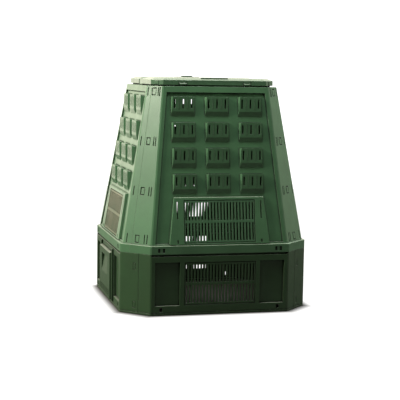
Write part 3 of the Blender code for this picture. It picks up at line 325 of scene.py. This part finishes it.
def moulded_polypropylene(name, pigment, cloud, roughness, soil=0.0, dust_and_sheen=DUST_AND_SHEEN_SHARE):
    """Satin moulded plastic with clouds, scuffs, dust and painted sheen, soil, stain and painted shade
    inside, painted shade in gaps, and grain.
    """
    material = bpy.data.materials.new(name)
    material.use_nodes = True
    tree = material.node_tree
    shader = tree.nodes["Principled BSDF"]
    coordinates = add_node(tree, "ShaderNodeTexCoord")
    place = coordinates.outputs["Object"]
    surface = add_node(tree, "ShaderNodeNewGeometry")
    rounded = add_node(tree, "ShaderNodeBevel", {"samples": 4}, {
        "Radius": EDGE_RADIUS_MM / 1000}).outputs["Normal"]
    clouds = flow_clouds(tree, place)
    # Painted shade in gaps and corners, for the colour and the gloss.
    painted_shade = painted_shade_share(tree)
    colour = pigmented(tree, clouds, pigment, cloud)
    colour = scuffed(tree, colour, surface, rounded)
    # Dust on what faces up, with a painted sheen on the lid.
    colour = dusted_and_sheened(tree, colour, surface, dust_and_sheen)
    colour = soil_splashed(tree, colour, place, soil)
    # The stain inside, partly painted shade.
    colour = stained_and_shaded_inside(tree, colour, coordinates)
    # Painted shade goes on last.
    colour = with_painted_shade(tree, colour, painted_shade)
    tree.links.new(colour, shader.inputs["Base Color"])
    tree.links.new(grained(tree, place, rounded), shader.inputs["Normal"])
    tree.links.new(satin(tree, clouds, roughness, painted_shade), shader.inputs["Roughness"])
    shader.inputs["IOR"].default_value = POLYPROPYLENE_IOR
    print("made", name)
    return material


print("polypropylene with an index of refraction of", POLYPROPYLENE_IOR)

# %% [markdown]
# ## Six plastics
# The walls, the lid, the grilles and the clips are one green in slightly different shades. The
# base ring is a duller regrind, a shade darker, and browner near the ground. The two side grilles
# look tan, because they stand over the hatches, where the soil is dug out, so they get dried soil.

# %% The six plastics
wall_plastic = moulded_polypropylene(
    "green polypropylene, satin moulded", "#49704e", "#436848", 0.36)
vent_plastic = moulded_polypropylene(
    "green polypropylene, grille moulding", "#446a4a", "#3e6244", 0.40)
# The lid gets a larger share of the pale layer, as painted sheen.
lid_plastic = moulded_polypropylene(
    "green polypropylene, lid moulding", "#4b6b4f", "#456349", 0.28, dust_and_sheen=LID_DUST_AND_SHEEN_SHARE)
base_plastic = moulded_polypropylene(
    "green regrind polypropylene, base moulding", "#284627", "#244123", 0.42, soil=0.12)
soiled_vent_plastic = moulded_polypropylene(
    "green polypropylene, grille moulding with dried soil", "#606247", "#4b583d", 0.50)
clip_plastic = moulded_polypropylene(
    "green polypropylene, clip moulding", "#436849", "#3e6044", 0.38)

# %% [markdown]
# ## Dressing the panels
# Each solid keeps its own shape and only gets the plastic it is moulded in. The record names a
# slot for each node, and one table says which plastic goes with each slot.

# %% Give each node its plastic
PLASTIC_OF = {"wall_plastic": wall_plastic, "vent_plastic": vent_plastic, "lid_plastic": lid_plastic,
              "base_plastic": base_plastic, "clip_plastic": clip_plastic}
SOILED = ("vent_left", "vent_right")
slot_of = {row["node"]: row["material_slot"] for row in frame["record"]["subparts"]}
for node_name, node in frame["nodes"].items():
    plastic = soiled_vent_plastic if node_name in SOILED else PLASTIC_OF[slot_of[node_name]]
    node.data.materials.clear()
    node.data.materials.append(plastic)
print("dressed", len(frame["nodes"]), "nodes,", len(SOILED), "of them soiled")

# %% [markdown]
# ## The finest moulded detail
# Two things on the mouldings are under a millimetre or two deep, so they are added here as thin
# raised shapes that ride the same bodies. Each could be painted on as a bump, but then its edge
# would catch no light. One function makes a raised block whose foot is sunk into its panel, and
# whose top is a little smaller, as a mould needs it.

# %% Raised shapes
FOOT_SUNK = 0.0004


def raised_shape(bm, corner, across, upward, outward, size, proud, taper):
    """A thin raised block: an embedded foot ring and a slightly smaller top ring."""
    width, height = size
    rings = []
    for depth, inset in ((-FOOT_SUNK, 0.0), (proud, taper)):
        ends = ((inset, inset), (width - inset, inset), (width - inset, height - inset),
                (inset, height - inset))
        rings.append([bm.verts.new(corner + across * a + upward * b + outward * depth) for a, b in ends])
    foot, top = rings
    for k in range(4):
        bm.faces.new((foot[k], foot[(k + 1) % 4], top[(k + 1) % 4], top[k]))
    bm.faces.new(top)
    bm.faces.new(foot[::-1])


def detail_object(name, bm, body, material):
    """Make one object of the raised shapes and let it ride a body."""
    bmesh.ops.recalc_face_normals(bm, faces=bm.faces)
    mesh = bpy.data.meshes.new(name)
    bm.to_mesh(mesh)
    bm.free()
    mesh.materials.append(material)
    piece = bpy.data.objects.new(name, mesh)
    bpy.context.scene.collection.objects.link(piece)
    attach(piece, body)
    print(name, "has", len(mesh.polygons), "faces and rides", body)


print("raised shapes are sunk by", FOOT_SUNK * 1000, "mm")

# %% [markdown]
# Each hood face has two upright ribs between its three slots, which keep the thin face stiff. The
# wall leans, so the face of each hood stands at its own distance from the middle of the bin. The
# ribs of one wall are made once for each quarter turn.

# %% Hood ribs
FOOT_HALF, FOOT_HEIGHT = 0.417, 0.309   # the wall's outer face at its foot
WALL_LEAN = 0.116 / 0.691
HOOD_TOP, HOOD_STEP, HOOD_ROWS = 0.956, 0.113, 4
HOOD_MIDDLES = (-0.154, 0.0, 0.154)
HOOD_PROUD = 0.014
RIB_OFFSET = 0.01925
RIB_BELOW_TOP = 0.006
RIB_SIZE = (0.0024, 0.050)
RIB_PROUD = 0.0009
RIB_TAPER = 0.0006
UP = Vector((0.0, 0.0, 1.0))

for quarter, side in enumerate(("front", "right", "back", "left")):
    bm = bmesh.new()
    turn = Matrix.Rotation(quarter * pi / 2, 3, "Z")
    across, outward = turn @ Vector((1.0, 0.0, 0.0)), turn @ Vector((0.0, -1.0, 0.0))
    for row in range(HOOD_ROWS):
        top = HOOD_TOP - HOOD_STEP * row
        face = FOOT_HALF - WALL_LEAN * (top - FOOT_HEIGHT) + HOOD_PROUD
        rib_foot = top - RIB_BELOW_TOP - RIB_SIZE[1]
        for middle in HOOD_MIDDLES:
            for offset in (-RIB_OFFSET, RIB_OFFSET):
                corner = turn @ Vector((middle + offset - RIB_SIZE[0] / 2, -face, rib_foot))
                raised_shape(bm, corner, across, UP, outward, RIB_SIZE, RIB_PROUD, RIB_TAPER)
    detail_object("hood_ribs_" + side, bm, "bin", wall_plastic)

# %% [markdown]
# Each corner of the lid has a small raised pad on its slanting facet, where the leaf is pressed
# down when it is shut. A pad rides its own leaf, so it turns with it.

# %% Lid corner pads
PAD_SIZE = (0.018, 0.0165)
PAD_PROUD = 0.0018
PAD_TAPER = 0.0008
PAD_FOOT = 1.0088
FACET_MIDDLE = 0.260

for leaf, sign in (("leaf_front", -1.0), ("leaf_back", 1.0)):
    bm = bmesh.new()
    for side in (-1.0, 1.0):
        outward = Vector((side, sign, 0.0)).normalized()
        across = UP.cross(outward)
        middle = Vector((side * FACET_MIDDLE, sign * FACET_MIDDLE, PAD_FOOT))
        raised_shape(bm, middle - across * PAD_SIZE[0] / 2, across, UP, outward,
                     PAD_SIZE, PAD_PROUD, PAD_TAPER)
    detail_object("corner_pads_" + leaf, bm, leaf, lid_plastic)

# %% [markdown]
# ## Floor and background
# The bin stands on a floor that the camera sees as white. A floor that really was white would throw
# light up at the bin, so its own colour is a middle grey, and its direct look gets a glow through
# Light Path. The glow reaches only the camera. It stops at the bin's footprint, because the ground
# inside the bin is in the dark, and it comes in over a few centimetres, which leaves a contact
# shadow. The footprint is an octagon: a square whose corners are cut off.

# %% The shape of the glow
FOOTPRINT_HALF = 0.426
FOOTPRINT_DIAGONAL = 0.738   # |x| + |y| on the cut corners
SHADE_FRONT = 0.05
SHADE_BEHIND = 0.03
FRONT_ENDS, BACK_STARTS = 0.15, 0.45   # the y between which the shade goes over from one to the other


def outside_footprint(tree):
    """0 under the bin and 1 a few centimetres outside it, smooth in between."""
    place = add_node(tree, "ShaderNodeTexCoord").outputs["Object"]
    axes = add_node(tree, "ShaderNodeSeparateXYZ", {}, {0: place})
    reach = [add_node(tree, "ShaderNodeMath", {"operation": "ABSOLUTE"}, {0: axes.outputs[axis]}).outputs[0]
             for axis in "XY"]
    square = add_node(tree, "ShaderNodeMath", {"operation": "MAXIMUM"}, {0: reach[0], 1: reach[1]})
    diagonal = add_node(tree, "ShaderNodeMath", {"operation": "ADD"}, {0: reach[0], 1: reach[1]})
    cut_corner = add_node(tree, "ShaderNodeMath", {"operation": "MULTIPLY"}, {
        0: diagonal.outputs[0], 1: FOOTPRINT_HALF / FOOTPRINT_DIAGONAL})
    octagon = add_node(tree, "ShaderNodeMath", {"operation": "MAXIMUM"}, {
        0: square.outputs[0], 1: cut_corner.outputs[0]})
    fade_end = add_node(tree, "ShaderNodeMapRange", {"interpolation_type": "SMOOTHSTEP"}, {
        "Value": axes.outputs["Y"], "From Min": FRONT_ENDS, "From Max": BACK_STARTS,
        "To Min": FOOTPRINT_HALF + SHADE_FRONT, "To Max": FOOTPRINT_HALF + SHADE_BEHIND})
    return add_node(tree, "ShaderNodeMapRange", {"interpolation_type": "SMOOTHSTEP"}, {
        "Value": octagon.outputs[0], "From Min": FOOTPRINT_HALF,
        "From Max": fade_end.outputs["Result"]}).outputs["Result"]


print("the glow is full", SHADE_FRONT, "m outside the front and", SHADE_BEHIND, "m outside the back")

# %% Floor
FLOOR_RADIUS = 5.2
FLOOR_SEGMENTS = 128
FLOOR_COLOUR = "#5a5a58"
FLOOR_ROUGHNESS = 0.9
FLOOR_GLOW = 1.0


def floor_material():
    """Matt grey to the light, and white to the camera outside the bin's footprint."""
    material = bpy.data.materials.new("pale studio floor")
    material.use_nodes = True
    tree = material.node_tree
    shader = tree.nodes["Principled BSDF"]
    shader.inputs["Base Color"].default_value = linear(FLOOR_COLOUR)
    shader.inputs["Roughness"].default_value = FLOOR_ROUGHNESS
    shader.inputs["Specular IOR Level"].default_value = 0.0
    shader.inputs["Emission Color"].default_value = linear("#ffffff")
    paths = add_node(tree, "ShaderNodeLightPath")
    glow = add_node(tree, "ShaderNodeMath", {"operation": "MULTIPLY"}, {
        0: paths.outputs["Is Camera Ray"], 1: outside_footprint(tree)})
    strength = add_node(tree, "ShaderNodeMath", {"operation": "MULTIPLY"}, {
        0: glow.outputs[0], 1: FLOOR_GLOW})
    tree.links.new(strength.outputs["Value"], shader.inputs["Emission Strength"])
    return material


bm = bmesh.new()
bmesh.ops.create_circle(bm, cap_ends=True, radius=FLOOR_RADIUS, segments=FLOOR_SEGMENTS)
floor_mesh = bpy.data.meshes.new("studio_floor")
bm.to_mesh(floor_mesh)
bm.free()
floor_mesh.materials.append(floor_material())
floor = bpy.data.objects.new("studio_floor", floor_mesh)
bpy.context.scene.collection.objects.link(floor)
print("floor disc of", FLOOR_RADIUS, "m radius")

# %% [markdown]
# ## Light
# The photograph has a white room behind the bin, a broad warm window high on the left, a weaker
# one high on the right and a little behind, and almost nothing from the camera's side. So the front
# wall is the darkest, and its sloping face is lighter than its upright parts, which only light from
# steeply above can explain. The left side shows a pale sheen, because plastic mirrors the white room
# at a glancing angle. So the world is bright towards the back left and the right, and dark in front,
# while the camera sees it as plain white.

# %% World
ROOM_BACK = ((-0.35, 0.94, 0.0), 2.2)   # where the white wall lies, and how bright it is
ROOM_RIGHT = ((1.0, 0.0, 0.0), 0.7)
ROOM_SPREAD = 2.0   # the power of the cosine by which a wall's light falls off to its sides
ROOM_COLOUR = "#fff6e4"   # the white wall under warm lamps

world = bpy.data.worlds.new("studio world")
bpy.context.scene.world = world
world.use_nodes = True
tree = world.node_tree
way = add_node(tree, "ShaderNodeTexCoord").outputs["Generated"]
lit_walls = []
for heading, brightness in (ROOM_BACK, ROOM_RIGHT):
    toward = add_node(tree, "ShaderNodeVectorMath", {"operation": "DOT_PRODUCT"}, {0: way, 1: heading})
    ahead = add_node(tree, "ShaderNodeMath", {"operation": "MAXIMUM"}, {0: toward.outputs["Value"], 1: 0.0})
    lobe = add_node(tree, "ShaderNodeMath", {"operation": "POWER"}, {0: ahead.outputs[0], 1: ROOM_SPREAD})
    lit_walls.append(add_node(tree, "ShaderNodeMath", {"operation": "MULTIPLY"}, {
        0: lobe.outputs[0], 1: brightness}))
walls = add_node(tree, "ShaderNodeMath", {"operation": "ADD"}, {
    0: lit_walls[0].outputs[0], 1: lit_walls[1].outputs[0]})
paths = add_node(tree, "ShaderNodeLightPath")
seen = add_node(tree, "ShaderNodeMath", {"operation": "MAXIMUM"}, {
    0: paths.outputs["Is Camera Ray"], 1: walls.outputs["Value"]})
hue = add_node(tree, "ShaderNodeMix", {"data_type": "RGBA"}, {
    MIX_SHARE: paths.outputs["Is Camera Ray"], COLOUR_UNDER: linear(ROOM_COLOUR),
    COLOUR_OVER: linear("#ffffff")})
tree.links.new(seen.outputs["Value"], tree.nodes["Background"].inputs["Strength"])
tree.links.new(hue.outputs[COLOUR_MIXED], tree.nodes["Background"].inputs["Color"])
print("room walls of brightness", ROOM_BACK[1], "at the back and", ROOM_RIGHT[1], "at the right")

# %% [markdown]
# The lamps are soft rectangles, because every shadow edge in the photograph is soft. Their places
# and powers come from a fit: the bin was rendered under 33 single lamps, and the sum that came
# nearest to the brightness of the photograph's plain areas was kept and then adjusted.

# %% Lamps
BIN_MIDDLE = (0.0, 0.0, 0.6)
UPPER_FRONT = (0.0, -0.36, 0.70)


def soft_lamp(name, place, target, size, power, colour="#ffffff"):
    """A rectangular area lamp that faces a point on the bin."""
    lamp = bpy.data.lights.new(name, "AREA")
    lamp.shape = "RECTANGLE"
    lamp.size, lamp.size_y = size
    lamp.energy = power
    lamp.color = linear(colour)[:3]
    stand = bpy.data.objects.new(name, lamp)
    stand.location = place
    stand.rotation_mode = "QUATERNION"
    stand.rotation_quaternion = (Vector(target) - Vector(place)).to_track_quat("-Z", "Y")
    bpy.context.scene.collection.objects.link(stand)
    print(name, "of", power, "W at", place)


soft_lamp("left window", (-4.36, -0.58, 3.30), BIN_MIDDLE, (1.9, 1.9), 415, "#fff6ea")
soft_lamp("roof light", (-1.38, -1.16, 3.72), BIN_MIDDLE, (1.3, 1.3), 22)
soft_lamp("right window", (2.51, 0.44, 3.15), BIN_MIDDLE, (1.3, 1.3), 124)
soft_lamp("front light", (-0.10, -0.75, 3.15), UPPER_FRONT, (0.9, 0.5), 49)
